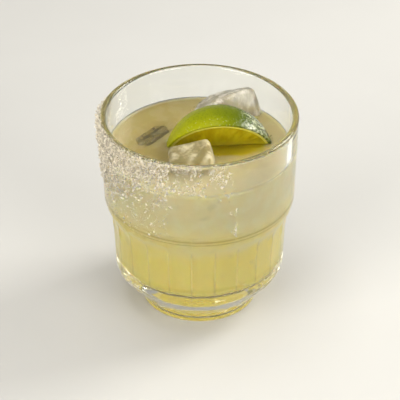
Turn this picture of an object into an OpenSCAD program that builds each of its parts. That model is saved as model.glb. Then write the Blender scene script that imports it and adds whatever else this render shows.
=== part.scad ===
// Margarita in a stepped tumbler: a smooth upper body over a faceted lower body,
// filled with a cloudy lime drink, three pieces of ice, a wedge of lime and a
// crust of salt on one side of the rim. Millimetres, +Z up, and the origin is
// the middle of the foot, where the glass stands.

/* [Glass] */
// Height of the glass
glass_h = 98; // [88:1:118]
// Diameter across the rim
rim_d = 90; // [80:1:108]
// Wall thickness at the rim
rim_wall = 3; // [2.4:0.1:3.6]
// Diameter of the upper body where it ends at the shoulder
shoulder_d = 88; // [80:1:106]
// Height of the shoulder above the table
shoulder_z = 56; // [46:1:66]
// Diameter of the lower body just below the shoulder, across the facets
waist_d = 81; // [76:1:98]
// Diameter of the lower body above its bottom corner, across the facets
belly_d = 79; // [72:1:95]
// Number of facets round the lower body, which is even
facets = 24; // [14:2:30]
// Diameter of the foot ring
foot_d = 55; // [46:1:66]
// Height of the foot ring
foot_h = 3.4; // [2.4:0.2:5]
// Thickness of the glass in the lower body
wall = 3.6; // [2.8:0.1:4.6]
// Thickness of the solid base under the drink
base_h = 18.5; // [15:0.5:22]
// Height of the domed hollow under the foot
punt_h = 12; // [4:0.5:12.5]

/* [Drink] */
// Height of the drink's surface above the table
fill_z = 81; // [76:1:83]

/* [Lime] */
// Length of the lime from tip to tip
lime_len = 50; // [44:1:56]
// Diameter of the lime
lime_d = 43; // [38:1:46]
// Angle of the wedge cut from it
wedge_angle = 60; // [48:1:66]
// Thickness of the green rind
rind_t = 1.2; // [0.8:0.1:1.6]
// Thickness of the white pith
pith_t = 1.1; // [0.8:0.1:1.6]
// Depth of the wedge's core below the surface of the drink
lime_sunk = 4.5; // [3:0.5:6]

/* [Ice] */
// Length of the block behind the lime
back_ice_len = 36; // [32:1:39]
// Height that the block behind the lime stands out of the drink
back_ice_out = 12.4; // [8:0.1:13]
// Length of the block in front of the lime
front_ice_len = 19; // [15:1:21]
// Height that the front block's tip stands out of the drink
front_ice_out = 10.8; // [6:0.2:11]
// Side of the cube at the left
left_ice_side = 23; // [19:1:25]
// Height that the left cube's flat top stands out of the drink
left_ice_out = 0.8; // [0.4:0.1:2]

/* [Salt] */
// Thickness of the crust where it is thickest
salt_t = 2; // [1:0.1:2.5]
// How far the crust reaches down from the rim at its deepest
salt_depth = 30; // [20:1:34]

/* [Hidden] */
$fn = 96;
tiny = 0.01;

// Glass, outside.
rim_r = rim_d / 2;
lip_r = rim_wall / 2;
lip_z = glass_h - lip_r;
shoulder_r = shoulder_d / 2;
waist_r = waist_d / 2;
belly_r = belly_d / 2;
foot_r = foot_d / 2;
facet_turn = 360 / facets;
// A facet edge lies this far round from the front of the glass.
facet_lead = 10.1;
// The plain band under the shoulder, above the facets.
band_h = 3;
band_r = shoulder_r - 0.7;
// The facets sweep in from the band to the waist over this height.
sweep_h = 7.4;
// The bottom corner: an arc under the wall, and a slope from there to the foot.
corner_r = 7.6;
corner_angle = 38;
corner_out_x = belly_r - corner_r + corner_r * cos(corner_angle);
foot_flare = 0.3;
ring_w = 5;
punt_r = foot_r - ring_w;
punt_arc_r = (pow(punt_r, 2) + pow(punt_h, 2)) / (2 * punt_h);
heel_r = foot_r + 0.5;
heel_run = corner_out_x - heel_r;
slope_top_z = foot_h + heel_run / tan(corner_angle);
belly_z = slope_top_z + corner_r * sin(corner_angle);
waist_z = shoulder_z - band_h - sweep_h;
// Room beyond the glass for the tools that cut it.
beyond = rim_r + 15;

// Glass, inside.
mouth_r = rim_r - rim_wall;
inner_shoulder_r = shoulder_r - wall - 0.2;
inner_waist_r = waist_r - wall;
inner_belly_r = belly_r - wall;
bowl_r = 9;
inner_shoulder_z = shoulder_z + 1.5;
inner_waist_z = waist_z + 1;

// Lime: an arc turned about the long axis gives the pointed fruit.
lime_r = lime_d / 2;
lime_arc_r = (pow(lime_len / 2, 2) + pow(lime_r, 2)) / (2 * lime_r);
lime_at = [9, 1, fill_z - lime_sunk];
lime_yaw = 4;
// The face towards the viewer leans out over the drink by this much.
lime_lean = 24;

// Ice.
ice_gap = 0.6;
wall_gap = 0.5;
sharp_cut = 1.6;
// The block behind the lime turns its broad face to the viewer and leans back.
back_ice_depth = 17;
back_ice_h = 25;
// Its left shoulder has melted to a slope, which leaves this much of its top edge.
back_ice_ridge = 18;
back_ice_fall = 19;
back_ice_corner = [25.6, 29.7, fill_z + back_ice_out];
back_ice_turn = [-23, -11, 17];
// The block in front has a long top edge that runs to the left of its tip.
front_ice_depth = 14;
front_ice_h = 18;
front_ice_tip = [4, -10.5, fill_z + front_ice_out];
front_ice_turn = [11, -14, 2];
// The left cube lies edge up, and the edge has melted to a flat strip.
left_cut = 4.4;
left_ice_top = [-21.5, 8.6, fill_z + left_ice_out];
left_ice_yaw = 53;

// Salt: the crust runs round the rim from the left of the back to the front.
salt_from = 166;
salt_to = 286;
salt_step = 6;
salt_top_z = lip_z;
salt_thick_at = 198;

// Points along an arc about centre c, from angle a0 to a1 in n steps.
function arc(c, r, a0, a1, n) =
    [for (i = [0:n]) let (a = a0 + (a1 - a0) * i / n) c + r * [cos(a), sin(a)]];

// Radius of the upper body's outer wall at height z.
function outer_r(z) =
    shoulder_r + (rim_r - shoulder_r) * (z - shoulder_z) / (lip_z - shoulder_z);

// Radius of the inner wall above the shoulder at height z.
function inner_r(z) =
    inner_shoulder_r + (mouth_r - inner_shoulder_r)
        * (z - inner_shoulder_z) / (lip_z - inner_shoulder_z);

// Concave sweep under the band, from r0 at height z0 out to r1 at height z1.
function sweep(r0, z0, r1, z1, n) =
    [for (i = [0:n]) let (t = i / n) [r0 + (r1 - r0) * pow(t, 1.6), z0 + (z1 - z0) * t]];

// Half outline of the glass where it is round: foot, band, upper wall and lip.
// Beside the facets it stands clear of them, so that they alone shape the body there.
module round_outline() {
    punt = arc([0, punt_h - punt_arc_r], punt_arc_r, 90, acos(punt_r / punt_arc_r), 10);
    difference() {
        polygon(concat(punt, [
            [foot_r, 0],
            [foot_r + foot_flare, foot_h],
            [heel_r + 2, foot_h + tiny],
            [shoulder_r + 2, foot_h + 12],
            [shoulder_r + 2, shoulder_z - band_h - 1],
            [band_r, shoulder_z - band_h],
            [shoulder_r, shoulder_z],
            [rim_r, lip_z],
            [0, lip_z]
        ]));
        bowl_outline(glass_h);
    }
    translate([rim_r - lip_r, lip_z]) circle(r = lip_r);
}

// Outline of two facets that face opposite ways, from below the foot to above the band.
module facet_outline() {
    clear_r = foot_r + foot_flare + tiny;
    low = [[clear_r, -5], [clear_r, foot_h], [heel_r, foot_h]];
    corner = arc([belly_r - corner_r, belly_z], corner_r, -corner_angle, 0, 5);
    top = sweep(waist_r, waist_z, band_r + tiny, shoulder_z - band_h, 6);
    high = [[beyond, shoulder_z - band_h + tiny], [beyond, glass_h + 5]];
    right = concat(low, corner, top, high);
    left = [for (i = [len(right) - 1:-1:0]) [-right[i][0], right[i][1]]];
    polygon(concat(right, left));
}

// Half outline of the inside, up to height top, and drawn in by gap.
module bowl_outline(top, gap = 0) {
    floor_z = base_h + gap;
    bowl = arc([inner_belly_r - bowl_r, base_h + bowl_r], bowl_r - gap, -90, 0, 8);
    intersection() {
        polygon(concat(
            [[0, floor_z]],
            bowl,
            sweep(inner_waist_r - gap, inner_waist_z, inner_shoulder_r - gap, inner_shoulder_z, 6),
            [[inner_r(lip_z) - gap, lip_z], [inner_r(lip_z) - gap, glass_h + 5], [0, glass_h + 5]]
        ));
        square([beyond, top]);
    }
}

// Solid that fills the inside of the glass up to height top.
module bowl_fill(top, gap = 0) {
    rotate_extrude() bowl_outline(top, gap);
}

// The tumbler, with facets cut round its lower body.
module glass() {
    color([0.86, 0.9, 0.88, 0.4])
    intersection() {
        rotate_extrude() round_outline();
        intersection_for(i = [0:facets / 2 - 1])
            rotate([0, 0, -90 + facet_lead + (i + 0.5) * facet_turn])
                rotate([90, 0, 0])
                    linear_extrude(height = 2 * beyond, center = true) facet_outline();
    }
}

// Half outline of the whole lime, with its skin taken off to a depth of inset.
module lime_outline(inset) {
    intersection() {
        translate([lime_r - lime_arc_r, 0]) circle(r = lime_arc_r - inset);
        translate([0, -lime_len]) square([lime_d, 2 * lime_len]);
    }
}

// Puts what is drawn about the lime's own axis where the wedge lies.
module lime_place() {
    translate(lime_at) rotate([0, 0, lime_yaw]) rotate([90, 0, 90]) children();
}

// A wedge of the lime, from the depth outer under the skin to the core.
module lime_wedge(outer) {
    lime_place()
        rotate([0, 0, 90 + lime_lean - wedge_angle])
            rotate_extrude(angle = wedge_angle) lime_outline(outer);
}

// The shell of the wedge between two depths under the skin.
module lime_shell(outer, inner) {
    lime_place()
        rotate([0, 0, 90 + lime_lean - wedge_angle])
            rotate_extrude(angle = wedge_angle)
                difference() {
                    lime_outline(outer);
                    lime_outline(inner);
                }
}

// Green rind.
module lime_rind() {
    color([0.5, 0.55, 0.05]) lime_shell(0, rind_t);
}

// White pith under the rind.
module lime_pith() {
    color([0.8, 0.8, 0.3]) lime_shell(rind_t, rind_t + pith_t);
}

// Juicy flesh, down to the core.
module lime_flesh() {
    color([0.6, 0.55, 0.12]) lime_wedge(rind_t + pith_t);
}

// A face of an ice block: a rectangle with its corners cut off.
module cut_rectangle(w, d, cut) {
    polygon([
        [cut, 0], [w - cut, 0], [w, cut], [w, d - cut],
        [w - cut, d], [cut, d], [0, d - cut], [0, cut]
    ]);
}

// A block of ice w by d by h, with one corner at the origin and its edges melted off.
module ice_block(w, d, h, cut) {
    intersection() {
        linear_extrude(height = h) cut_rectangle(w, d, cut);
        translate([0, d, 0])
            rotate([90, 0, 0]) linear_extrude(height = d) cut_rectangle(w, h, cut);
        rotate([90, 0, 90]) linear_extrude(height = w) cut_rectangle(d, h, cut);
    }
}

// The space on the drink's front side of the lime's back face.
module before_lime_back() {
    lime_place()
        rotate([0, 0, 90 + lime_lean - wedge_angle])
            translate([-2 * glass_h, -ice_gap, -2 * glass_h])
                cube([4 * glass_h, 2 * glass_h, 4 * glass_h]);
}

// The space behind the lime's front face.
module behind_lime_front() {
    lime_place()
        rotate([0, 0, 90 + lime_lean])
            translate([-2 * glass_h, ice_gap - 2 * glass_h, -2 * glass_h])
                cube([4 * glass_h, 2 * glass_h, 4 * glass_h]);
}

// The space above the slope that the back block's left shoulder has melted to.
module above_slope() {
    translate([-back_ice_ridge, 0, 0])
        rotate([0, -back_ice_fall, 0])
            translate([-2 * glass_h, -glass_h, 0]) cube([2 * glass_h, 2 * glass_h, 2 * glass_h]);
}

// The tall block behind the lime, cut off where the wall has melted it.
module ice_back() {
    color([0.86, 0.87, 0.85])
    intersection() {
        difference() {
            translate(back_ice_corner)
                rotate(back_ice_turn)
                    difference() {
                        translate([-back_ice_len, 0, -back_ice_h])
                            ice_block(back_ice_len, back_ice_depth, back_ice_h, sharp_cut);
                        above_slope();
                    }
            before_lime_back();
        }
        bowl_fill(glass_h, wall_gap);
    }
}

// The block in front of the lime, with its top out of the drink.
module ice_front() {
    color([0.84, 0.86, 0.82])
    difference() {
        translate(front_ice_tip)
            rotate(front_ice_turn)
                translate([-front_ice_len, -front_ice_depth, -front_ice_h])
                    ice_block(front_ice_len, front_ice_depth, front_ice_h, sharp_cut);
        behind_lime_front();
    }
}

// The cube at the left, lying edge up just under the surface.
module ice_left() {
    side = left_ice_side;
    color([0.84, 0.86, 0.82])
    intersection() {
        translate(left_ice_top + [0, 0, left_cut / sqrt(2)])
            rotate([0, 0, left_ice_yaw])
                rotate([45, 0, 0])
                    translate([-side / 2, -side, -side]) ice_block(side, side, side, left_cut);
        bowl_fill(glass_h, wall_gap);
    }
}

// The drink, up to its surface and round everything that lies in it.
module drink() {
    color([0.8, 0.76, 0.45])
    difference() {
        bowl_fill(fill_z);
        lime_wedge(0);
        ice_back();
        ice_front();
        ice_left();
    }
}

// How thick the salt is at angle a round the rim, as a share of its greatest thickness.
function salt_share(a) =
    max(0.25, cos(clamp_angle((a - salt_thick_at) * 0.9))) * (0.86 + 0.14 * sin(a * 13));

// Keeps an angle within a quarter turn either way.
function clamp_angle(a) = max(-90, min(90, a));

// One strip of the crust, from angle a to the next.
module salt_strip(a) {
    share = salt_share(a);
    low = salt_top_z - salt_depth * share;
    thick = salt_t * share;
    rotate([0, 0, a])
        rotate_extrude(angle = salt_step + 0.3)
            polygon([
                [outer_r(low), low],
                [outer_r(low + 2) + thick, low + 2],
                [outer_r(salt_top_z) + thick, salt_top_z - 1],
                [outer_r(salt_top_z), salt_top_z]
            ]);
}

// The crust of salt on the outside of the rim.
module salt_crust() {
    color([0.9, 0.89, 0.86])
    for (a = [salt_from:salt_step:salt_to - salt_step])
        salt_strip(a);
}

glass();
drink();
lime_rind();
lime_pith();
lime_flesh();
ice_back();
ice_front();
ice_left();
salt_crust();
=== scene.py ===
# %% [markdown]
# # A margarita in a stepped tumbler
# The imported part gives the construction: the tumbler, the drink, three pieces of ice, a wedge of lime and a
# crust of salt, all in metres and all in one frame. This lesson dresses it. Each piece is modelled as a
# real mesh and given a finish made of nodes. We start by loading the frame, because every place comes from
# it.

# %% Load the frame
import math

import bmesh
import bpy
import numpy as np
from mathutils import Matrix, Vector, noise
from mathutils.bvhtree import BVHTree


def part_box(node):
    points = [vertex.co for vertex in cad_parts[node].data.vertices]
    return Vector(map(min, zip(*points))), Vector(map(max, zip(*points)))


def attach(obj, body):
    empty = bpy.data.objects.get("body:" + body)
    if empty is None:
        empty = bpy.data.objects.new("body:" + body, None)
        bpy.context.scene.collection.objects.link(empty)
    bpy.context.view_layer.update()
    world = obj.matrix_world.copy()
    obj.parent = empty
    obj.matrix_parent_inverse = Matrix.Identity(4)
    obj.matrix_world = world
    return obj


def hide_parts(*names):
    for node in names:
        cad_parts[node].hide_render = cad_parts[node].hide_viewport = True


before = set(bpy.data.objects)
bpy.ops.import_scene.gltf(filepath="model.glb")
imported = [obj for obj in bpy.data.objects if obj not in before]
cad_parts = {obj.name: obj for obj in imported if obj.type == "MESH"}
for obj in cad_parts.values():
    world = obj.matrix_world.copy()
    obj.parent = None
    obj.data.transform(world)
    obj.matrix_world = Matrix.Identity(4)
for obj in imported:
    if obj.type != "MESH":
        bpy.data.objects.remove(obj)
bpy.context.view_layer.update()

MM = 0.001
BODY = "root"

# %% [markdown]
# ## Seeing the glass as it stands
# The camera comes first, so that each piece can be judged from where it will be seen. It looks down on the
# glass by about a third of a right angle, from 0.8 m away with a long lens, as is usual for a drink.

# %% Camera
CAMERA_TILT = math.radians(34.37)
CAMERA_FAR = 0.8
SENSOR_WIDTH, LENS = 36, 154.7
AIM = Vector((0.00035, 0, 0.0503))
camera_data = bpy.data.cameras.new("camera")
camera = bpy.data.objects.new("camera", camera_data)
bpy.context.scene.collection.objects.link(camera)
bpy.context.scene.camera = camera
toward = Vector((0, math.cos(CAMERA_TILT), -math.sin(CAMERA_TILT)))
camera.location = AIM - toward * CAMERA_FAR
camera.rotation_euler = toward.to_track_quat("-Z", "Y").to_euler()
camera_data.sensor_width = SENSOR_WIDTH
camera_data.lens = LENS
print("camera at", [round(v, 3) for v in camera.location])

# %% [markdown]
# ## Writing shader maths as Python
# A shader is a sum of small steps, and a wall of nodes is hard to read. So a socket is wrapped in a class
# whose operators add Math nodes, and a finish is a class with one method that adds any other node.

# %% Sockets that can be added and multiplied
class Value:
    """A number that varies over a surface. Operators on it add Math nodes."""

    def __init__(self, finish, socket):
        self.finish = finish
        self.socket = socket

    def math(self, operation, a, b=0.0):
        return self.finish.node("ShaderNodeMath", {"operation": operation}, {0: a, 1: b})

    def __add__(self, other):
        return self.math("ADD", self, other)

    def __radd__(self, other):
        return self.math("ADD", other, self)

    def __sub__(self, other):
        return self.math("SUBTRACT", self, other)

    def __rsub__(self, other):
        return self.math("SUBTRACT", other, self)

    def __mul__(self, other):
        return self.math("MULTIPLY", self, other)

    def __rmul__(self, other):
        return self.math("MULTIPLY", other, self)

    def __truediv__(self, other):
        return self.math("DIVIDE", self, other)

    def __pow__(self, other):
        return self.math("POWER", self, other)

    def magnitude(self):
        return self.math("ABSOLUTE", self)

    def smaller(self, other):
        return self.math("MINIMUM", self, other)

    def larger(self, other):
        return self.math("MAXIMUM", self, other)

    def step_between(self, low, high):
        """0 below low, 1 above high, and smooth between them."""
        return self.finish.node(
            "ShaderNodeMapRange",
            {"interpolation_type": "SMOOTHSTEP", "clamp": True},
            {"Value": self, "From Min": low, "From Max": high, "To Min": 0.0, "To Max": 1.0},
        )


# %% [markdown]
# A finish holds the nodes of one material. Every node that isn't plain maths comes from one method, which
# takes the node's kind, its settings, and the values or links of its sockets. The methods after it name the
# few mixtures of nodes that come back in every finish. The colour sockets of a Mix node share their names
# with its other sockets, so they are given by number.

# %% A finish and its one way of adding nodes
MIX_SHARE, MIX_FIRST, MIX_SECOND, MIX_RESULT = 0, 6, 7, 2


class Finish:
    """A material under construction."""

    def __init__(self, name):
        self.material = bpy.data.materials.new(name)
        self.material.use_nodes = True
        self.tree = self.material.node_tree
        self.tree.nodes.clear()
        self.place = self.node("ShaderNodeTexCoord", output="Object")

    def node(self, kind, settings=None, inputs=None, output=0):
        """Adds a node: its settings first, then a value or a link for each named socket."""
        made = self.tree.nodes.new(kind)
        for key, value in (settings or {}).items():
            if key == "stops":
                self.set_stops(made.color_ramp, value)
            else:
                setattr(made, key, value)
        for key, value in (inputs or {}).items():
            if isinstance(value, Value):
                self.tree.links.new(value.socket, made.inputs[key])
            else:
                made.inputs[key].default_value = value
        return Value(self, made.outputs[output])

    def set_stops(self, ramp, stops):
        """Gives a colour ramp its stops, as pairs of a place and a colour."""
        while len(ramp.elements) < len(stops):
            ramp.elements.new(0.5)
        for element, (place, colour) in zip(ramp.elements, stops):
            element.position = place
            element.color = colour

    def noise(self, grain, detail=3.0, rough=0.5, stretch=(1, 1, 1)):
        """Cloudy noise whose blobs are about grain millimetres across."""
        spot = self.stretched(stretch)
        ins = {"Vector": spot, "Scale": 1 / (grain * MM), "Detail": detail, "Roughness": rough}
        return self.node("ShaderNodeTexNoise", {}, ins)

    def cells(self, grain, feature="F1", stretch=(1, 1, 1)):
        """Distance to the nearest of many points, about grain millimetres apart."""
        spot = self.stretched(stretch)
        ins = {"Vector": spot, "Scale": 1 / (grain * MM)}
        return self.node("ShaderNodeTexVoronoi", {"feature": feature}, ins)

    def stretched(self, stretch):
        """The place on the surface, with its axes stretched."""
        ins = {0: self.place, 1: stretch}
        return self.node("ShaderNodeVectorMath", {"operation": "MULTIPLY"}, ins)

    def axis(self, letter):
        """One coordinate of the place on the surface, in metres."""
        return self.node("ShaderNodeSeparateXYZ", {}, {0: self.place}, letter)

    def height(self):
        """Height above the table, in metres."""
        return self.axis("Z")

    def blend(self, share, first, second):
        """One colour turning into another."""
        ins = {MIX_SHARE: share, MIX_FIRST: first, MIX_SECOND: second}
        return self.node("ShaderNodeMix", {"data_type": "RGBA"}, ins, MIX_RESULT)

    def bump(self, relief, depth):
        """A normal tilted by relief, whose full height is depth millimetres."""
        return self.node("ShaderNodeBump", {}, {"Height": relief, "Distance": depth * MM})

    def surface(self, **sockets):
        """The main shader, with underscores for the spaces in its sockets' names."""
        ins = {name.replace("_", " "): value for name, value in sockets.items()}
        return self.node("ShaderNodeBsdfPrincipled", {}, ins)

    def mix(self, share, first, second):
        """Two shaders, with share of the second."""
        return self.node("ShaderNodeMixShader", {}, {0: share, 1: first, 2: second})

    def done(self, shader):
        """Ends the finish with its output and returns the material."""
        out = self.tree.nodes.new("ShaderNodeOutputMaterial")
        self.tree.links.new(shader.socket, out.inputs["Surface"])
        return self.material


# %% [markdown]
# A colour is easiest to choose as it looks on a screen, from 0 to 255. A shader counts light instead, and
# the two scales aren't the same, so one function turns the first into the second.

# %% Colours as they are seen
def rgb(red, green, blue):
    """A colour given as it is seen, from 0 to 255, as the linear colour that a shader takes."""
    seen = np.array([red, green, blue]) / 255
    linear = np.where(seen <= 0.04045, seen / 12.92, ((seen + 0.055) / 1.055) ** 2.4)
    return (*[float(v) for v in linear], 1.0)


print("middle grey throws back", round(rgb(128, 128, 128)[0], 3), "of the light")

# %% [markdown]
# ## Making meshes from rings
# A tumbler and the drink in it are turned shapes, so both can be made from rings of points. A grid function
# joins the rings with faces. It also serves the lime, whose skin is a grid over angle and length.

# %% Grids and pieces
def grid_faces(rows, columns, around, start=0):
    """Faces of a grid of points. With around, the last column joins the first."""
    faces = []
    for i in range(rows - 1):
        for j in range(columns if around else columns - 1):
            k = (j + 1) % columns
            low = start + i * columns
            faces.append((low + j, low + k, low + columns + k, low + columns + j))
    return faces


def make_piece(name, points, faces, weld=0.0, smooth=True):
    """A mesh object from points in metres, welded where points meet, that moves with the glass."""
    mesh = bpy.data.meshes.new(name)
    mesh.from_pydata([tuple(p) for p in points], [], faces)
    shape = bmesh.new()
    shape.from_mesh(mesh)
    if weld:
        bmesh.ops.remove_doubles(shape, verts=shape.verts, dist=weld)
        bmesh.ops.dissolve_degenerate(shape, edges=shape.edges, dist=weld * 0.5)
    bmesh.ops.recalc_face_normals(shape, faces=shape.faces)
    shape.to_mesh(mesh)
    shape.free()
    mesh.polygons.foreach_set("use_smooth", [smooth] * len(mesh.polygons))
    piece = bpy.data.objects.new(name, mesh)
    bpy.context.scene.collection.objects.link(piece)
    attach(piece, BODY)
    print(name, len(mesh.vertices), "points", len(mesh.polygons), "faces")
    return piece


def dress(piece, material):
    """Gives a piece its finish."""
    piece.data.materials.clear()
    piece.data.materials.append(material)
    print(piece.name, "is dressed in", material.name)


# %% [markdown]
# ## The tumbler's outline
# The outline is a run of straight lines with rounded corners. Rounding every corner matters more for glass
# than for anything else, because its edges are seen only by the light that they bend. The numbers are
# millimetres.

# %% Rounded outline
STRAIGHT = 1e-3
ARC_SHARE = 0.49


def rounded(corners, steps=7):
    """Points along straight lines between corners (x, z, radius), with an arc of radius at each."""
    points = [np.array(corners[0][:2], float)]
    for before, here, after in zip(corners, corners[1:], corners[2:]):
        a, b, c = (np.array(p[:2], float) for p in (before, here, after))
        into, out = (a - b) / np.linalg.norm(a - b), (c - b) / np.linalg.norm(c - b)
        turn = math.pi - math.acos(float(np.clip(into @ out, -1, 1)))
        if here[2] <= 0 or turn < STRAIGHT:
            points.append(b)
            continue
        reach = here[2] * math.tan(turn / 2)
        reach = min(reach, ARC_SHARE * np.linalg.norm(a - b), ARC_SHARE * np.linalg.norm(c - b))
        radius = reach / math.tan(turn / 2)
        middle = b + (into + out) / np.linalg.norm(into + out) * radius / math.cos(turn / 2)
        first, last = b + into * reach - middle, b + out * reach - middle
        side = 1 if first[0] * last[1] - first[1] * last[0] > 0 else -1
        start = math.atan2(first[1], first[0])
        for k in range(steps + 1):
            angle = start + side * turn * k / steps
            points.append(middle + radius * np.array([math.cos(angle), math.sin(angle)]))
    points.append(np.array(corners[-1][:2], float))
    return points


def filled(points, spacing):
    """The same outline, with further points wherever two lie more than spacing apart."""
    out = [points[0]]
    for a, b in zip(points, points[1:]):
        n = max(1, math.ceil(np.linalg.norm(b - a) / spacing))
        out += [a + (b - a) * k / n for k in range(1, n + 1)]
    return np.array(out)


# %% [markdown]
# The part's own box gives the rim and the height. The shoulder, the facets and the foot are set below them
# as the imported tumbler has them: a plain band under the shoulder, a sweep in to the waist, and a sloped
# bottom corner.

# %% Sizes of the tumbler
rim_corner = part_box("glass")[1]
GLASS_H = rim_corner[2] / MM
RIM_R = rim_corner[0] / MM
LIP_R = 1.5
LIP_Z = GLASS_H - LIP_R
LIP_ENDS = 0.2
SHOULDER_R, SHOULDER_Z = 44.0, 56.0
BAND_R, BAND_Z = 43.3, 53.0
WAIST_R, WAIST_Z = 40.5, 45.6
BELLY_R, CORNER_Z, CORNER_R = 39.5, 18.1, 7.6
FOOT_R, FOOT_H = 27.5, 3.4
PUNT_R, PUNT_H = 22.5, 12.0
FACETS = 24
FACET_LEAD = 10.1
WALL = 3.6
INNER_RIM_R = RIM_R - 2 * LIP_R
INNER_SHOULDER_R, INNER_SHOULDER_Z = SHOULDER_R - WALL - 0.2, SHOULDER_Z + 1.5
OUTLINE_STEP = 2.2
BASE_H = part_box("drink")[0][2] / MM
FILL_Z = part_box("drink")[1][2] / MM
print("rim radius", round(RIM_R, 2), "height", round(GLASS_H, 2), "filled to", round(FILL_Z, 2))


def sweep(low, high, steps=10, hollow=1.6):
    """Corners along a hollow curve from one (radius, height) up to another."""
    wide, tall = high[0] - low[0], high[1] - low[1]
    shares = [k / steps for k in range(steps + 1)]
    return [(low[0] + wide * t**hollow, low[1] + tall * t, 0) for t in shares]


# %% [markdown]
# The outline starts at the top of the hollow under the foot, runs out and up the outside, over the lip, and
# down the inside to the middle of the floor. One outline for both sides gives the glass its true thickness,
# and that thickness is what bends the light.

# %% Outside and inside of the tumbler
def dome(edge, height, steps=14):
    """Corners along the hollow under the foot, from its top on the axis down to its edge."""
    radius = (edge**2 + height**2) / (2 * height)
    spread = math.asin(edge / radius)
    turns = [spread * k / steps for k in range(steps)]
    return [(radius * math.sin(a), height - radius * (1 - math.cos(a)), 0) for a in turns]


outside = rounded(
    dome(PUNT_R, PUNT_H)
    + [(PUNT_R, 0, 0.8), (FOOT_R, 0, 0.9)]
    + [(FOOT_R + 0.3, FOOT_H, 1.0), (BELLY_R, CORNER_Z, CORNER_R)]
    + sweep((WAIST_R, WAIST_Z), (BAND_R, BAND_Z))
    + [(BAND_R, SHOULDER_Z - 0.8, 0.2), (SHOULDER_R, SHOULDER_Z, 0.35), (RIM_R, LIP_Z, 0)]
)
lip = [
    np.array([RIM_R - LIP_R + LIP_R * math.cos(a), LIP_Z + LIP_R * math.sin(a)])
    for a in np.linspace(LIP_ENDS, math.pi - LIP_ENDS, 13)
]
inside = rounded(
    [(INNER_RIM_R, LIP_Z, 0)]
    + sweep((WAIST_R - WALL, WAIST_Z + 1), (INNER_SHOULDER_R, INNER_SHOULDER_Z))[::-1]
    + [(BELLY_R - WALL, BASE_H, 9.0), (0, BASE_H, 0)],
    steps=12,
)
glass_outline = filled(outside + lip + inside, OUTLINE_STEP)
print("outline of the tumbler has", len(glass_outline), "points")


# %% [markdown]
# A point on a facet lies further out near the facet's edges than at its middle. A soft maximum of the
# directions of the facets gives that, with the slightly rounded edges of pressed glass, and a small dip
# makes them hollow. The points round a ring crowd towards the facet edges, where the shape bends most.

# %% Facets
HALF_FACET = math.pi / FACETS
FACET_MIDDLES = math.radians(-90 + FACET_LEAD) + HALF_FACET * (1 + 2 * np.arange(FACETS))


def ring_angles():
    """Angles round the glass, in radians, crowded towards the edges between facets."""
    shares = [-0.98, -0.95, -0.9, -0.8, -0.6, -0.3, 0.0, 0.3, 0.6, 0.8, 0.9, 0.95, 0.98, 1.0]
    return np.array([middle + HALF_FACET * s for middle in FACET_MIDDLES for s in shares])


def facet_swell(angles, sharp=1500.0, dip=0.0045):
    """How much further out than a facet's middle the surface lies at each angle."""
    lean = np.cos(angles[:, None] - FACET_MIDDLES[None, :])
    soft = 1 + np.log(np.exp(sharp * (lean - 1)).sum(axis=1)) / sharp
    across = np.arccos(np.clip(lean.max(axis=1), -1, 1)) / HALF_FACET
    return 1 / soft - dip * (1 - across**2)


ANGLES = ring_angles()
SWELL = facet_swell(ANGLES)
BAND_SLOPE = (SHOULDER_R - BAND_R) / (SHOULDER_Z - BAND_Z)
FACET_TOP_R = SHOULDER_R - BAND_SLOPE * SHOULDER_Z
FACET_START, FACET_FADE = FOOT_H + 0.6, 2.5


def glass_ring(radius, height, outer):
    """Points of one ring of the tumbler."""
    reach = np.full(len(ANGLES), radius)
    if outer and FACET_START < height < BAND_Z:
        grow = min(1.0, (height - FACET_START) / FACET_FADE)
        band = FACET_TOP_R + BAND_SLOPE * height
        reach = np.minimum(radius * (1 + (SWELL - 1) * grow), max(band, radius))
    return np.stack([reach * np.cos(ANGLES), reach * np.sin(ANGLES), np.full(len(ANGLES), height)], 1)


def turned(name, outline, ring, weld=1e-6):
    """A closed piece from an outline that starts and ends on the axis."""
    rings = [ring(i, r, z) for i, (r, z) in enumerate(outline)]
    points = np.concatenate(rings) * MM
    return make_piece(name, points, grid_faces(len(rings), len(ANGLES), True), weld=weld)


lip_start = len(filled(outside, OUTLINE_STEP))
tumbler = turned("tumbler", glass_outline, lambda i, r, z: glass_ring(r, z, i < lip_start))
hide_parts("glass")

# %% [markdown]
# ## Clear glass
# Pressed glass is smooth but never perfectly flat: it has slow waves from the mould. The waves are a bump
# so shallow that it only bends the reflections, and a trace of green comes from iron in the glass. The
# edges between the facets and the undercut of the shoulder are tinted towards the drink's colour as
# painted shade, and the edges carry thin white lines as a painted highlight.

# %% Finish of the tumbler
def facet_edges(f, width):
    """1 along the edges between facets, within width mm, and 0 elsewhere."""
    x, y, z = f.axis("X"), f.axis("Y"), f.height()
    turn = (x.math("ARCTAN2", y, x) - float(FACET_MIDDLES[0] - HALF_FACET)) / (2 * HALF_FACET)
    across = (turn.math("FRACT", turn) - 0.5).magnitude() * (2 * HALF_FACET * BELLY_R)
    edge = across.step_between(HALF_FACET * BELLY_R - width, HALF_FACET * BELLY_R)
    radius = (x * x + y * y) ** 0.5
    outside_only = radius.step_between(37.2 * MM, 37.8 * MM)
    above_corner = z.step_between(12 * MM, 17 * MM)
    below_band = 1 - z.step_between(48 * MM, 51 * MM)
    return edge * outside_only * above_corner * below_band


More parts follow.
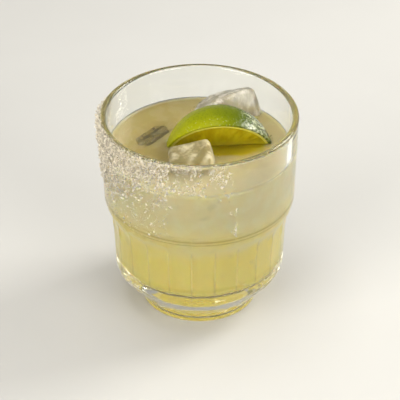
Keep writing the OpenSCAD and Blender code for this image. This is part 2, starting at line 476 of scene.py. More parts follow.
def clear_glass():
    """Clear pressed glass, with painted shade on the facet edges and under the shoulder, and painted
    highlight lines on the edges.
    """
    f = Finish("clear_glass")
    waves = f.noise(14, detail=1.0)
    film = f.noise(5, detail=4.0)
    edges = facet_edges(f, 1.1)
    up = f.height()
    below_shoulder = 1 - up.step_between((SHOULDER_Z - 0.5) * MM, (SHOULDER_Z - 0.1) * MM)
    # Painted shade: the facet edges and a narrow band under the shoulder are tinted darker, towards the
    # drink's colour.
    undercut_shade = up.step_between((SHOULDER_Z - 1.4) * MM, (SHOULDER_Z - 0.9) * MM) * below_shoulder
    shade = (edges * 0.45).larger(undercut_shade * 0.85)
    tint = f.blend(film, rgb(250, 252, 246), rgb(255, 255, 252))
    clear = f.surface(
        Base_Color=f.blend(shade, tint, rgb(208, 196, 146)),
        Roughness=film.step_between(0.55, 0.9) * 0.03,
        IOR=1.5,
        Transmission_Weight=1.0,
        Normal=f.bump(waves, 0.12),
    )
    # Painted highlight: thin pale lines along the facet edges, from a rougher white shader.
    edge_glint = f.surface(
        Base_Color=f.blend(film, rgb(252, 248, 232), rgb(255, 253, 244)),
        Roughness=0.3,
    )
    return f.done(f.mix(facet_edges(f, 0.4) * 0.08, clear, edge_glint))


dress(tumbler, clear_glass())

# %% [markdown]
# ## Ice
# Bar ice is clear at its skin and cloudy inside, and it melts from its edges inwards. Each block starts
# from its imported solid. A voxel remesh gives it an even skin, smoothing rounds its edges, and noise melts
# shallow dishes into its faces. The low cube is let down a little, until the drink covers it.

# %% Melted blocks
DISH_ACROSS = 9
RIPPLE_ACROSS, RIPPLE_SHARE = 2.6, 0.22


def melted(node, name, seed, voxel=0.5, rounds=2, dish=0.3, swell=0.3, sink=0.0):
    """A melted copy of a packed block of ice, lying sink mm lower."""
    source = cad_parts[node]
    mesh = source.data.copy()
    piece = bpy.data.objects.new(name, mesh)
    bpy.context.scene.collection.objects.link(piece)
    shape = bmesh.new()
    shape.from_mesh(mesh)
    bmesh.ops.remove_doubles(shape, verts=shape.verts, dist=1e-5)
    shape.to_mesh(mesh)
    shape.free()
    remesh = piece.modifiers.new("even_skin", "REMESH")
    remesh.mode = "VOXEL"
    remesh.voxel_size = voxel * MM
    smooth = piece.modifiers.new("melt", "SMOOTH")
    smooth.factor = 0.6
    smooth.iterations = rounds
    graph = bpy.context.evaluated_depsgraph_get()
    baked = bpy.data.meshes.new_from_object(piece.evaluated_get(graph))
    piece.modifiers.clear()
    piece.data = baked
    sway = Vector((seed * 3.1, seed * 1.7, seed * 2.3))
    normals = [v.normal.copy() for v in baked.vertices]
    for v, normal in zip(baked.vertices, normals):
        broad = noise.noise(v.co / (DISH_ACROSS * MM) + sway)
        fine = noise.noise(v.co / (RIPPLE_ACROSS * MM) + sway)
        v.co += normal * (swell + broad * dish + fine * dish * RIPPLE_SHARE) * MM
        v.co.z -= sink * MM
    baked.polygons.foreach_set("use_smooth", [True] * len(baked.polygons))
    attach(piece, BODY)
    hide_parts(node)
    print(name, len(baked.vertices), "points")
    return piece


tall_ice = melted("ice_back", "tall_ice", 1)
small_ice = melted("ice_front", "small_ice", 2)
low_ice = melted("ice_left", "low_ice", 3, rounds=4, sink=1.3)


# %% [markdown]
# Two shaders are mixed by a streaky mask: clear wet ice, and the white frost of trapped air. The streaks
# follow the way the block froze, so the noise is stretched. How much frost a block holds is given when its
# finish is made, because a cube that has lain in the drink for long has lost most of it. On that cube a
# third shader paints shade in two straight bands along its upper edge.

# %% Finish of the ice
low_box = [np.array(corner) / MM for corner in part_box("ice_left")]
SHADE_WAY = math.radians(52)
SHADE_MIDDLE = (low_box[0] + low_box[1])[:2] / 2 + (1.0, -0.7)
SHADE_APART, SHADE_FADE = 2.3, 1.08
SHADE_WANDER = 2.4


def shade_bands(f):
    """1 in the two bands of painted shade beside the flat edge of the low cube, and 0 elsewhere."""
    x = f.axis("X") - float(SHADE_MIDDLE[0] * MM)
    y = f.axis("Y") - float(SHADE_MIDDLE[1] * MM)
    wander = (f.noise(6, detail=2.0) - 0.5) * (SHADE_WANDER * MM)
    across = (y * math.cos(SHADE_WAY) - x * math.sin(SHADE_WAY) + wander).magnitude()
    off = (across - SHADE_APART * MM).magnitude()
    along = (x * math.cos(SHADE_WAY) + y * math.sin(SHADE_WAY)).magnitude()
    ends = 1 - along.step_between(5 * MM, 12 * MM)
    return (1 - off.step_between(0, SHADE_FADE * MM)) * ends


def wet_ice(name, least, most, shaded, dull, bright):
    """Ice that is frosty by a share from least to most, white between dull and bright, and with two bands of
    painted shade when shaded is set.
    """
    f = Finish(name)
    streaks = f.noise(5, detail=5.0, rough=0.62, stretch=(1.0, 1.0, 0.35))
    clouds = f.noise(11, detail=2.0)
    frost = (streaks * 0.6 + clouds * 0.4).step_between(0.44, 0.6) * (most - least) + least
    relief = f.bump(f.noise(2.2, detail=4.0), 0.16)
    cracks = f.noise(7, detail=4.0, rough=0.6, stretch=(0.35, 1.2, 0.8)).step_between(0.54, 0.66)
    clear = f.surface(
        Base_Color=f.blend(cracks, rgb(250, 250, 244), rgb(190, 180, 152)),
        Roughness=0.02,
        IOR=1.31,
        Transmission_Weight=1.0,
        Normal=relief,
    )
    white = f.surface(
        Base_Color=f.blend((streaks * 0.5 + clouds * 0.5).step_between(0.4, 0.6), dull, bright),
        Roughness=0.28,
        IOR=1.31,
        Subsurface_Weight=0.6,
        Subsurface_Radius=(1.0, 1.0, 1.0),
        Subsurface_Scale=2.5 * MM,
        Normal=relief,
    )
    cold = f.mix(frost, clear, white)
    if not shaded:
        return f.done(cold)
    # Painted shade: a dark tan shader in the two bands along the low cube's upper edge.
    dark = f.surface(Base_Color=rgb(112, 98, 54), Roughness=0.3, IOR=1.31)
    return f.done(f.mix(shade_bands(f) * 0.5, cold, dark))


dress(tall_ice, wet_ice("frosty_ice", 0.3, 0.85, False, rgb(214, 208, 188), rgb(244, 240, 230)))
dress(small_ice, wet_ice("cloudy_ice", 0.3, 0.7, False, rgb(208, 192, 134), rgb(240, 230, 194)))
dress(low_ice, wet_ice("clear_ice", 0.15, 0.45, True, rgb(206, 192, 140), rgb(238, 228, 190)))

# %% [markdown]
# ## The wedge of lime
# The whole lime is an arc turned about its long axis, which gives its pointed ends. The wedge is a grid
# over angle and length, in three shells: rind, pith and flesh. The helper below turns the lime's own axes,
# where the axis of the fruit lies along x, into places in the glass.

# %% Where the lime lies
rind_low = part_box("lime_rind")[0]
LIME_HALF = 25.0
LIME_R = 21.5
LIME_ARC = (LIME_HALF**2 + LIME_R**2) / (2 * LIME_R)
LIME_AT = np.array([9.0, 1.0, rind_low[2] / MM])
LIME_YAW = math.radians(4)
WEDGE = (math.radians(54), math.radians(114))
RIND_T, PITH_T = 1.2, 1.1


def lime_place(x, radius, angle):
    """Place in the glass, in mm, of points at x along the lime, radius from its axis and angle round it."""
    y, z = radius * np.cos(angle), radius * np.sin(angle)
    c, s = math.cos(LIME_YAW), math.sin(LIME_YAW)
    return np.stack([x * c - y * s, x * s + y * c, z], -1) + LIME_AT


def lime_radius(x, inset):
    """Distance from the lime's axis to the layer inset under its skin, at x along the lime."""
    inside = np.maximum((LIME_ARC - inset) ** 2 - x**2, 0)
    return np.maximum(np.sqrt(inside) - (LIME_ARC - LIME_R), 0)


def lime_reach(inset):
    """Half the length of that layer."""
    return math.sqrt((LIME_ARC - inset) ** 2 - (LIME_ARC - LIME_R) ** 2)


print("lime arc radius", round(LIME_ARC, 2), "flesh reaches", round(lime_reach(RIND_T + PITH_T), 2))


# %% [markdown]
# The rind is full of oil glands, which dimple it about a millimetre apart. They are real relief here,
# worked out from cell noise, with the finest of them left to the finish.

# %% Shells of the lime
def lime_shell(name, outer, inner, relief, columns=150, rows=60):
    """A closed shell of the wedge between two depths under the skin, with relief on its outside."""
    reach = lime_reach(outer)
    xs = np.sin(np.linspace(-math.pi / 2, math.pi / 2, columns)) * reach
    angles = np.linspace(*WEDGE, rows)
    x_out, a_out = np.meshgrid(xs, angles)
    r_out = lime_radius(x_out, outer)
    r_in = np.minimum(lime_radius(x_out, inner), r_out)
    spots = lime_place(x_out, r_out, a_out)
    lift = np.array([[relief(Vector(p)) for p in row] for row in spots])
    fade = np.clip(r_out / 3, 0, 1)
    skin = lime_place(x_out, r_out + lift * fade, a_out)
    under = lime_place(x_out, r_in, a_out)
    points = np.concatenate([skin.reshape(-1, 3), under.reshape(-1, 3)]) * MM
    faces = grid_faces(rows, columns, False) + grid_faces(rows, columns, False, rows * columns)
    for row in (0, rows - 1):
        for j in range(columns - 1):
            a = row * columns + j
            b = a + rows * columns
            faces.append((a, a + 1, b + 1, b))
    return make_piece(name, points, faces, weld=2e-5)


GLAND_APART, GLAND_HALF, GLAND_DEPTH = 1.0, 0.5, 0.22


def glands(spot):
    """Relief of the rind in mm at a place in mm: dimples, and slow swellings between them."""
    near = noise.voronoi(spot / GLAND_APART)[0]
    dimple = -GLAND_DEPTH * max(0.0, 1 - near[0] / GLAND_HALF)
    return dimple + 0.15 * noise.noise(spot / 6) + 0.1 * noise.noise(spot / 1.6)


rind = lime_shell("rind", 0.0, RIND_T, glands, columns=280, rows=120)
pith = lime_shell("pith", RIND_T, RIND_T + PITH_T, lambda spot: 0.0, columns=90, rows=30)
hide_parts("lime_rind")
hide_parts("lime_pith")


# %% [markdown]
# The flesh is made of juice sacs, long drops that point from the rind towards the core. On a cut face they
# stand proud in ridges. The face is a grid over length and depth, and the ridges are noise stretched along
# the direction of the sacs.

# %% Flesh
SACS_ACROSS, SAC_LENGTH, SAC_RELIEF = 9.0, 6.5, 0.2
CORE_GAP = 6


def sacs(x, radius, side):
    """Relief of a cut face in mm, at x along the lime and radius from its axis."""
    spread = x / np.maximum(radius + CORE_GAP, 1)
    spot = Vector((spread * SACS_ACROSS, radius / SAC_LENGTH, side * 5.0))
    ridge = noise.noise(spot) + 0.5 * noise.noise(spot * 2.1)
    return SAC_RELIEF * ridge


def flesh_piece(columns=130, depths=44, rows=26):
    """The wedge's flesh, with sacs standing out of both of its cut faces."""
    inset = RIND_T + PITH_T
    xs = np.sin(np.linspace(-math.pi / 2, math.pi / 2, columns)) * lime_reach(inset)
    grids = []
    for side, angle in ((-1, WEDGE[0]), (1, WEDGE[1])):
        share, x = np.meshgrid(np.linspace(0, 1, depths), xs, indexing="ij")
        radius = lime_radius(x, inset) * share
        out = np.array([[sacs(a, b, side) for a, b in zip(ra, rb)] for ra, rb in zip(x, radius)])
        edge = np.clip(np.minimum(share * 6, (1 - share) * 10), 0, 1)
        edge *= np.clip(lime_radius(x, inset) / 3, 0, 1)
        face = lime_place(x, radius, np.full_like(x, angle))
        c, s = math.cos(LIME_YAW), math.sin(LIME_YAW)
        ny, nz = -math.sin(angle) * side, math.cos(angle) * side
        normal = np.array([-ny * s, ny * c, nz])
        grids.append(face + (out * edge)[..., None] * normal)
    angles, x = np.meshgrid(np.linspace(*WEDGE, rows), xs, indexing="ij")
    back = lime_place(x, lime_radius(x, inset), angles)
    points, faces = [], []
    for part, count in ((grids[0], depths), (grids[1], depths), (back, rows)):
        faces += grid_faces(count, columns, False, sum(len(p) for p in points))
        points.append(part.reshape(-1, 3))
    return make_piece("flesh", np.concatenate(points) * MM, faces, weld=2e-5)


flesh = flesh_piece()
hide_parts("lime_flesh")


# %% [markdown]
# The skin of a ripe lime runs from deep green to yellow-green at its ends, with darker glands. Its wet
# gloss is a clear coat, whose glints come from the dimples, and pale specks near its right end and along
# the cut side are painted glints. Pith and flesh are seen through a film of juice.

# %% Finishes of the lime
def along_lime(f):
    """Place along the lime, from 0 at its left end to 1 at its right."""
    left = (LIME_AT[0] - LIME_HALF) * MM
    return (f.axis("X") - left) * (1 / (2 * LIME_HALF * MM))


def green_rind():
    """Dimpled green skin, yellower at its left, with pale painted glints near its right end and along the cut
    side.
    """
    f = Finish("lime_rind")
    along = along_lime(f)
    spots = f.cells(1.15).step_between(0.1, 0.5)
    patches = f.noise(7, detail=3.0)
    ramp = [
        (0.0, rgb(184, 184, 20)),
        (0.22, rgb(146, 152, 0)),
        (0.5, rgb(112, 122, 0)),
        (0.78, rgb(62, 80, 0)),
        (1.0, rgb(92, 100, 12)),
    ]
    base = f.node("ShaderNodeValToRGB", {"stops": ramp}, {"Fac": along + (patches - 0.5) * 0.2})
    dark = f.blend(0.35, base, rgb(66, 78, 0))
    fine = f.noise(0.45, detail=2.0)
    pores = 1 - f.cells(1.3).step_between(0.12, 0.3)
    far_end = along.step_between(0.66, 0.8) * (1 - along.step_between(0.9, 0.97))
    # Painted glints: pale specks on the pores and in patches near the right end, and fainter ones along the
    # cut side.
    painted_glints = (pores + f.noise(1.6, detail=3.0).step_between(0.48, 0.6)).smaller(1.0) * far_end * 0.7
    cut_side = 1 - f.axis("Y").step_between(-6.5 * MM, -1 * MM)
    ripe = cut_side * (1 - along.step_between(0.3, 0.75)) * 0.35
    glint_specks = pores * cut_side * (1 - far_end) * 0.3
    green = f.blend(ripe, f.blend(spots, dark, base), rgb(178, 176, 12))
    skin = f.blend(painted_glints.larger(glint_specks), green, rgb(216, 220, 180))
    body = f.surface(
        Base_Color=skin,
        Roughness=0.2 + patches * 0.1,
        Specular_IOR_Level=0.1,
        Subsurface_Weight=0.15,
        Subsurface_Radius=(1.0, 1.0, 0.2),
        Subsurface_Scale=1.5 * MM,
        Coat_Weight=far_end * 0.9 + 0.08,
        Coat_Roughness=0.1,
        Normal=f.bump(fine, 0.08),
    )
    return f.done(body)


def pale_pith():
    """Fibrous pith, yellowed by a film of juice."""
    f = Finish("lime_pith")
    fibres = f.noise(0.8, detail=4.0)
    body = f.surface(
        Base_Color=f.blend(fibres, rgb(200, 192, 44), rgb(222, 214, 96)),
        Roughness=0.45,
        Subsurface_Weight=0.5,
        Subsurface_Radius=(1.0, 0.9, 0.4),
        Subsurface_Scale=2 * MM,
        Normal=f.bump(fibres, 0.1),
    )
    return f.done(body)


def juicy_flesh():
    """Wet sacs of juice, paler near and under the drink's surface as painted light."""
    f = Finish("lime_flesh")
    sac = f.noise(3.0, detail=3.0, stretch=(1.0, 0.3, 0.3))
    deep = f.noise(9, detail=2.0)
    base = f.blend(sac.step_between(0.3, 0.7), rgb(154, 134, 8), rgb(184, 170, 24))
    # Painted light: the flesh turns paler from a few mm above the drink's surface downwards.
    lit_under_drink = 1 - f.height().step_between((FILL_Z - 0.5) * MM, (FILL_Z + 4.5) * MM)
    base = f.blend(lit_under_drink * 0.8, base, rgb(206, 192, 52))
    body = f.surface(
        Base_Color=f.blend(deep * 0.5, base, rgb(172, 158, 20)),
        Roughness=0.16,
        IOR=1.36,
        Specular_IOR_Level=0.3,
        Subsurface_Weight=0.7,
        Subsurface_Radius=(1.0, 0.85, 0.2),
        Subsurface_Scale=3 * MM,
        Coat_Weight=0.2,
        Coat_Roughness=0.05,
        Normal=f.bump(sac, 0.08),
    )
    return f.done(body)


dress(rind, green_rind())
dress(pith, pale_pith())
dress(flesh, juicy_flesh())

# %% [markdown]
# ## The drink
# The drink wets the glass, so its skin lies just inside the wall of the tumbler's mesh and no film of air
# shows between them. At the wall, and round the ice and the lime, its surface climbs a little. That rim of
# liquid catches a bright line of light. The distance to the nearest solid comes from a search tree.

# %% Shape of the drink
WETTING = 0.12
SKIN = 0.08
CLIMB = 0.5
CLIMB_REACH = 0.8
SHORE_SHARE = 0.7
RIPPLE = 0.08
SEARCH_REACH = 12.0


def inner_outline(outward):
    """The inside of the tumbler below the drink's surface, down to the axis, moved outward by some mm."""
    points = [p for p in filled(inside, 1.6) if p[1] < FILL_Z - 0.3]
    out = []
    for i, p in enumerate(points):
        before, after = points[max(i - 1, 0)], points[min(i + 1, len(points) - 1)]
        way = (after - before) / np.linalg.norm(after - before)
        away = np.array([-way[1], way[0]]) if p[0] > 0.01 else np.array([0, -1])
        out.append(p + outward * away)
    return out


def search_tree(pieces):
    """One tree of the faces of several pieces."""
    points, faces = [], []
    for piece in pieces:
        start = len(points)
        points += [v.co.copy() for v in piece.data.vertices]
        faces += [tuple(start + i for i in p.vertices) for p in piece.data.polygons]
    return BVHTree.FromPolygons(points, faces)


shores = search_tree([tall_ice, small_ice, rind, flesh])
inner_slope = (INNER_RIM_R - INNER_SHOULDER_R) / (LIP_Z - INNER_SHOULDER_Z)
inner_wall = INNER_RIM_R - (LIP_Z - FILL_Z) * inner_slope
print("the drink's surface meets the wall at a radius of", round(inner_wall, 2))


def away_from(tree, x, y):
    """Distance in mm from a point of the drink's level surface to the nearest face of a tree."""
    found = tree.find_nearest(Vector((x, y, FILL_Z)) * MM, SEARCH_REACH * MM)
    return found[3] / MM if found[0] is not None else SEARCH_REACH


def surface_height(x, y):
    """Height of the drink's surface, in mm: level, and climbing what it touches."""
    wall = inner_wall - math.hypot(x, y)
    shore = away_from(shores, x, y)
    climb = CLIMB * math.exp(-max(wall, 0) / CLIMB_REACH)
    climb += SHORE_SHARE * CLIMB * math.exp(-shore / CLIMB_REACH)
    ripple = RIPPLE * noise.noise(Vector((x / 11, y / 11, 3.0)))
    return FILL_Z + climb + ripple


# %% [markdown]
# Two bodies fill the glass in one way: rings of points over the surface, and then rings down the wall. The
# clear liquid reaches just into the wall. The cloudy body stays a hair inside it, and its top dips beside
# the lime and the low cube, where the drink is clearer.

# %% Meshes of the drink
CLEAR_FILM, CLOUD_DEPTH = 0.05, 0.3
DIP_AT_LIME, DIP_AT_ICE = 0.8, 1.2


def filling(name, outward, height, count=92):
    """A body that fills the glass, with a given height at each place of its surface."""
    radii = (inner_wall + outward) * (1 - np.linspace(1, 0, count) ** 1.35)
    rings = []
    for radius in radii:
        xs, ys = radius * np.cos(ANGLES), radius * np.sin(ANGLES)
        zs = np.array([height(x, y) for x, y in zip(xs, ys)])
        rings.append(np.stack([xs, ys, zs], 1))
    for radius, z in inner_outline(outward):
        rings.append(np.stack([radius * np.cos(ANGLES), radius * np.sin(ANGLES), np.full(len(ANGLES), z)], 1))
    points = np.concatenate(rings) * MM
    return make_piece(name, points, grid_faces(len(rings), len(ANGLES), True), weld=1e-6)


fruit = search_tree([flesh])
low_block = search_tree([low_ice])


def cloud_top(x, y):
    """Height of the top of the cloudy body, in mm, lower where the drink is clear beside the lime."""
    beside_lime = max(0.0, 1 - away_from(fruit, x, y) / 2.5)
    beside_ice = max(0.0, 1 - away_from(low_block, x, y) / 4)
    lumps = 0.1 * noise.noise(Vector((x / 5, y / 5, 1.0)))
    inward = 1 - math.exp(-max(inner_wall - math.hypot(x, y), 0) / 1.5)
    dip = CLOUD_DEPTH + DIP_AT_LIME * beside_lime + DIP_AT_ICE * beside_ice - lumps
    return surface_height(x, y) - CLEAR_FILM - inward * dip


liquid = filling("liquid", WETTING, surface_height)
cloud = filling("cloud", -SKIN, cloud_top)
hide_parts("drink")


# %% [markdown]
# Pouring leaves a few bubbles, which gather where the surface climbs the ice and the lime. Each is a thin
# cap of liquid. The caps are small rings of points, joined in one mesh.

# %% Bubbles
def bubble(x, y, radius, turns=12, rings=5):
    """Points and faces of one cap standing on the surface, in mm."""
    points, faces = [], []
    for k in range(rings):
        lift = (math.pi / 2) * k / rings
        for j in range(turns):
            a = 2 * math.pi * j / turns
            flat = radius * math.cos(lift)
            points.append((x + flat * math.cos(a), y + flat * math.sin(a), radius * math.sin(lift)))
    faces = grid_faces(rings, turns, True)
    points.append((x, y, radius))
    last = (rings - 1) * turns
    faces += [(last + j, last + (j + 1) % turns, rings * turns) for j in range(turns)]
    points.append((x, y, -0.1))
    faces += [((j + 1) % turns, j, rings * turns + 1) for j in range(turns)]
    base = surface_height(x, y) - 0.05
    return np.array(points) + (0, 0, base), faces


def froth(tries):
    """One mesh of the bubbles that lie close to a shore."""
    draw = np.random.default_rng(11)
    points, faces, count = [], [], 0
    for _ in range(tries):
        x, y = draw.uniform(-40, 40, 2)
        radius = draw.uniform(0.18, 0.6) * draw.uniform(0.5, 1.0)
        shore = away_from(shores, x, y)
        if math.hypot(x, y) > inner_wall - 1 or not radius * 1.1 < shore < 1.0 + 1.5 * draw.random():
            continue
        made, joined = bubble(x, y, radius)
        faces += [tuple(count + i for i in face) for face in joined]
        points.append(made)
        count += len(made)
    return make_piece("froth", np.concatenate(points) * MM, faces)


bubbles = froth(tries=900)

# %% [markdown]
# Lime juice makes the drink cloudy, so it is half a milky body lit from within and half a clear liquid.
# Near the top it is paler, where chips of ice and froth float, and at the bottom it is a stronger yellow.
# In front of the lime the top of the cloudy body is painted yellow, as a painted reflection of the cut
# face, and two bands beside the low cube are painted shade. Juice carries light much further than the few
# millimetres that the scattering here reaches, so a faint painted glow in the lower body stands for what
# comes through from the far side.

# %% Finishes of the drink
REFLECTION_AT = np.array([LIME_AT[0] + 3, LIME_AT[1] - 1.5, FILL_Z])
REFLECTION_HALF = np.array([21.0, 10.0, 8.0])
BODY_GLOW, BOTTOM_GLOW = 0.09, 0.3


def clear_liquid():
    """The clear half of the drink, which gives it its gloss."""
    f = Finish("lime_drink")
    film = f.noise(30, detail=1.0)
    body = f.surface(
        Base_Color=f.blend(film, rgb(252, 249, 232), rgb(250, 247, 226)),
        Roughness=0.0,
        IOR=1.34,
        Transmission_Weight=1.0,
    )
    return f.done(body)


def cloudy_body():
    """The milky half: strong below, pale above, with its own colours on its top, painted shade beside the low
    cube, a painted reflection of the lime's cut face, and a painted glow below.
    """
    f = Finish("cloudy_juice")
    up = f.height()
    swirl = f.noise(16, detail=2.0, stretch=(1, 1, 1.4))
    slush = f.noise(5.5, detail=3.0)
    level = (up + (swirl - 0.5) * (22 * MM)).step_between(38 * MM, 66 * MM)
    pale = f.blend(slush.step_between(0.35, 0.7), rgb(247, 234, 194), rgb(250, 241, 212))
    strong = f.blend(swirl, rgb(255, 229, 124), rgb(255, 233, 142))
    smudge = f.noise(8, detail=1.0).step_between(0.66, 0.78) * 0.25
    tinted = f.blend(smudge, f.blend(level, strong, pale), rgb(196, 192, 150))
    x, y = f.axis("X"), f.axis("Y")
    out = (x * x + y * y) ** 0.5
    middle = 1 - out.step_between(39.4 * MM, 40.6 * MM)
    top = up.step_between(76 * MM, 78 * MM) * middle
    across = x.step_between(-25 * MM, 30 * MM) * 0.75 + slush.step_between(0.42, 0.62) * 0.25
    face = f.blend(across, rgb(208, 193, 132), rgb(232, 221, 178))
    pale_edge = out.step_between(31 * MM, 41 * MM) * 0.5 * (1 - y.step_between(0, 30 * MM))
    front = 1 - y.step_between(-32 * MM, -14 * MM)
    face = f.blend(pale_edge.larger(front * 0.8), face, rgb(240, 231, 200))
    # Painted shade: the same two bands are darkened on the top of the cloudy body, beside the low cube.
    face = f.blend(shade_bands(f) * 0.85, face, rgb(104, 90, 46))
    # Painted reflection: a yellow patch on the top in front of the lime stands for the reflection of its cut
    # face.
    reflection_offset = f.node("ShaderNodeVectorMath", {"operation": "SUBTRACT"}, {0: f.place, 1: tuple(REFLECTION_AT * MM)})
    spread = f.node("ShaderNodeVectorMath", {"operation": "DIVIDE"}, {0: reflection_offset, 1: tuple(REFLECTION_HALF * MM)})
    reach = f.node("ShaderNodeVectorMath", {"operation": "LENGTH"}, {0: spread}, "Value")
    flesh_reflection = (1 - (reach + (slush - 0.5) * 0.3).step_between(0.75, 1.05)) * top
    lid = f.blend(flesh_reflection, face, rgb(226, 210, 66))
    body_glow = (1 - up.step_between(50 * MM, 68 * MM)) * BODY_GLOW
    glow = body_glow + (1 - up.step_between(19 * MM, 24 * MM)) * BOTTOM_GLOW
    lit = f.blend(glow, rgb(0, 0, 0), rgb(255, 232, 120))
    body = f.surface(
        Base_Color=f.blend(top, tinted, lid),
        Emission_Color=lit,
        Emission_Strength=1.0,
        Roughness=0.5,
        IOR=1.1,
        Subsurface_Weight=1.0,
        Subsurface_Radius=(1.0, 0.85, 0.45),
        Subsurface_Scale=5 * MM,
    )
    return f.done(body)


dress(liquid, clear_liquid())
dress(bubbles, liquid.data.materials[0])
dress(cloud, cloudy_body())

# %% [markdown]
# ## Salt
# The rim was wetted on one side and pressed into coarse salt. The grains are crystals of many sizes, stuck
# to the outside of the wall and up over the lip, thickest at the left and thinning towards the front, with
# a few that slid down. Each is a cube with its corners moved, and all of one size range are joined in one
# mesh.

# %% Where salt sticks
rng = np.random.default_rng(7)
SALT_FROM, SALT_TO = 160.0, 292.0
SALT_TOP, SALT_DROP = -0.4, 41
print("salt sticks from", SALT_FROM, "to", SALT_TO, "degrees round the rim")


def wall_radius(height):
    """Outer radius of the upper body at a height, in mm."""
    if height > LIP_Z:
        rise = min(height - LIP_Z, LIP_R)
        return RIM_R - LIP_R + math.sqrt(max(LIP_R**2 - rise**2, 0))
    return SHOULDER_R + (RIM_R - SHOULDER_R) * (height - SHOULDER_Z) / (LIP_Z - SHOULDER_Z)


def lobe(angle, middle, spread):
    """1 at the middle of a tongue of salt, fading over spread degrees."""
    return math.exp(-(((angle - middle) / spread) ** 2))


def salt_amount(angle, drop):
    """How likely salt is to stick at an angle in degrees and a drop in mm below the rim."""
    ends = min((angle - SALT_FROM) / 14, (SALT_TO - angle) / 62, 1)
    depth = 9 + 17 * lobe(angle, 200, 32) + 6 * lobe(angle, 240, 14)
    ragged = noise.noise(Vector((angle / 9, drop / 9, 1.0))) * 0.55
    ragged += noise.noise(Vector((angle / 3.2, drop / 3.4, 5.0))) * 0.4
    stray = 0.035 if 200 < angle < 252 and drop < 40 else 0.0
    return max(stray, min(1.0, ends * (1.25 - drop / depth) + ragged))


# %% [markdown]
# A crystal of salt is a cube that has been knocked about. So a grain is a cube with unequal sides and with
# each corner pushed in or out, turned at random. There are two sizes: coarse grains that pile up, and fine
# ones that fill the gaps between them.

# %% Grains
CUBE = np.array([(x, y, z) for x in (-1, 1) for y in (-1, 1) for z in (-1, 1)], float)
CUBE_FACES = [(0, 1, 3, 2), (4, 6, 7, 5), (0, 4, 5, 1), (2, 3, 7, 6), (0, 2, 6, 4), (1, 5, 7, 3)]


def spun(points):
    """The points turned about the origin by a random turn."""
    q = rng.normal(size=4)
    a, b, c, d = q / np.linalg.norm(q)
    turn = np.array([
        [1 - 2 * (c * c + d * d), 2 * (b * c - a * d), 2 * (b * d + a * c)],
        [2 * (b * c + a * d), 1 - 2 * (b * b + d * d), 2 * (c * d - a * b)],
        [2 * (b * d - a * c), 2 * (c * d + a * b), 1 - 2 * (b * b + c * c)],
    ])
    return points @ turn.T


def grain(size):
    """Corners of one crystal about size mm across."""
    sides = size / 2 * rng.uniform(0.6, 1.0, 3)
    return spun(CUBE * sides * rng.uniform(0.62, 1.08, (8, 1)))


def grain_piece(name, spots, sizes):
    """One mesh of many crystals at places in mm."""
    points, faces = [], []
    for i, (spot, size) in enumerate(zip(spots, sizes)):
        points.append(grain(size) + spot)
        faces += [tuple(8 * i + k for k in face) for face in CUBE_FACES]
    return make_piece(name, np.concatenate(points) * MM, faces, smooth=False)


def salt_spots(tries, low, high, pile):
    """Places and sizes of grains on the wall, more of them where salt sticks best."""
    spots, sizes = [], []
    for _ in range(tries):
        angle = rng.uniform(SALT_FROM, SALT_TO)
        drop = rng.uniform(SALT_TOP, SALT_DROP)
        amount = salt_amount(angle, drop)
        if rng.random() > amount:
            continue
        height = GLASS_H + SALT_TOP - drop
        size = rng.uniform(low, high)
        out = wall_radius(height) + size * 0.3 + rng.random() * pile * amount
        a = math.radians(angle)
        spots.append(np.array([out * math.cos(a), out * math.sin(a), height]))
        sizes.append(size)
    return spots, sizes


coarse = grain_piece("salt_coarse", *salt_spots(tries=4600, low=0.45, high=1.1, pile=1.7))
fine = grain_piece("salt_fine", *salt_spots(tries=42000, low=0.2, high=0.5, pile=0.9))
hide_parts("salt_crust")


# %% [markdown]
# Dry salt is white, because its many faces scatter the light, and wet salt is clear. A patchy mask mixes
# the two, so that the crust has both frosty and glassy grains.

# %% Finish of the salt
def white_salt():
    """White salt with clear wet patches."""
    f = Finish("salt")
    grainy = f.noise(0.9, detail=3.0)
    wet = f.noise(1.6, detail=2.0).step_between(0.38, 0.62) * 0.5
    white = f.surface(
        Base_Color=f.blend(grainy, rgb(208, 197, 172), rgb(240, 232, 216)),
        Roughness=0.3,
        IOR=1.54,
        Subsurface_Weight=0.5,
        Subsurface_Radius=(1.0, 1.0, 1.0),
        Subsurface_Scale=0.8 * MM,
        Normal=f.bump(grainy, 0.06),
    )
    clear = f.surface(
        Base_Color=rgb(252, 248, 240),
        Roughness=0.15,
        IOR=1.54,
        Transmission_Weight=1.0,
    )
    return f.done(f.mix(wet, white, clear))


salt_finish = white_salt()
dress(coarse, salt_finish)
dress(fine, salt_finish)

# %% [markdown]
# ## Studio
# A plain pale floor, four large soft boxes and a pale room. The floor is light enough to throw light back
# up into the foot. A narrow card low at the right is seen only in reflections, and draws the bright upright
# streak that shows a smooth round wall.

# %% Floor and light
FLOOR_Z = -0.2 * MM
FLOOR_HALF = 3
ROOM_LIGHT = 0.36


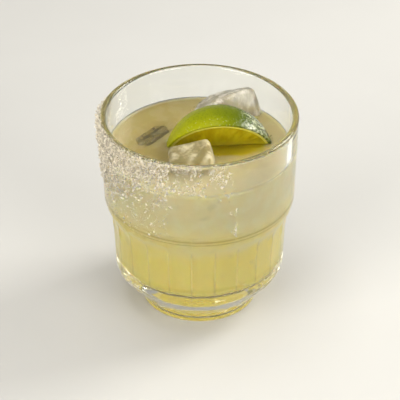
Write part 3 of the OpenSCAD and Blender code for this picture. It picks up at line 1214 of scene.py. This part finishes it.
def area_light(name, place, size, power, colour=(1, 1, 1)):
    """A soft box that faces the glass."""
    data = bpy.data.lights.new(name, "AREA")
    data.shape = "RECTANGLE"
    data.size, data.size_y = size
    data.energy = power
    data.color = colour
    lamp = bpy.data.objects.new(name, data)
    bpy.context.scene.collection.objects.link(lamp)
    lamp.location = place
    lamp.rotation_euler = (AIM - Vector(place)).to_track_quat("-Z", "Y").to_euler()
    lamp.visible_camera = False
    return lamp


def pale_floor():
    """A plain pale floor with faint mottling."""
    f = Finish("pale_floor")
    mottle = f.noise(60, detail=3.0)
    grey = f.blend(mottle, rgb(203, 202, 198), rgb(208, 207, 203))
    return f.done(f.surface(Base_Color=grey, Roughness=0.6))


floor_mesh = bpy.data.meshes.new("floor")
floor_ways = ((-1, -1), (1, -1), (1, 1), (-1, 1))
floor_corners = [(x * FLOOR_HALF, y * FLOOR_HALF, FLOOR_Z) for x, y in floor_ways]
floor_mesh.from_pydata(floor_corners, [], [(0, 1, 2, 3)])
floor = bpy.data.objects.new("floor", floor_mesh)
bpy.context.scene.collection.objects.link(floor)
floor.data.materials.append(pale_floor())

area_light("key", (0.75, 0.36, 0.6), (0.4, 0.6), 8, (1.0, 0.98, 0.93))
area_light("overhead", (-0.15, 0.0, 1.2), (0.7, 0.5), 4, (1.0, 0.98, 0.94))
area_light("left_fill", (-0.8, -0.75, 0.4), (0.8, 0.6), 12, (1.0, 0.97, 0.91))
area_light("right_fill", (0.75, -0.8, 0.45), (0.8, 0.6), 8, (1.0, 0.97, 0.91))
card = area_light("card", (0.112, 0.043, 0.034), (0.022, 0.026), 0.0032, (1.0, 0.98, 0.93))
card.visible_diffuse = False
card.visible_transmission = False
world = bpy.data.worlds.new("room")
bpy.context.scene.world = world
world.use_nodes = True
room = world.node_tree.nodes["Background"]
room.inputs["Color"].default_value = (1.0, 0.99, 0.97, 1)
room.inputs["Strength"].default_value = ROOM_LIGHT
bpy.context.scene.view_settings.view_transform = "Standard"
cycles = bpy.context.scene.cycles
cycles.max_bounces = 32
cycles.transmission_bounces = 32
cycles.glossy_bounces = 16
cycles.diffuse_bounces = 8
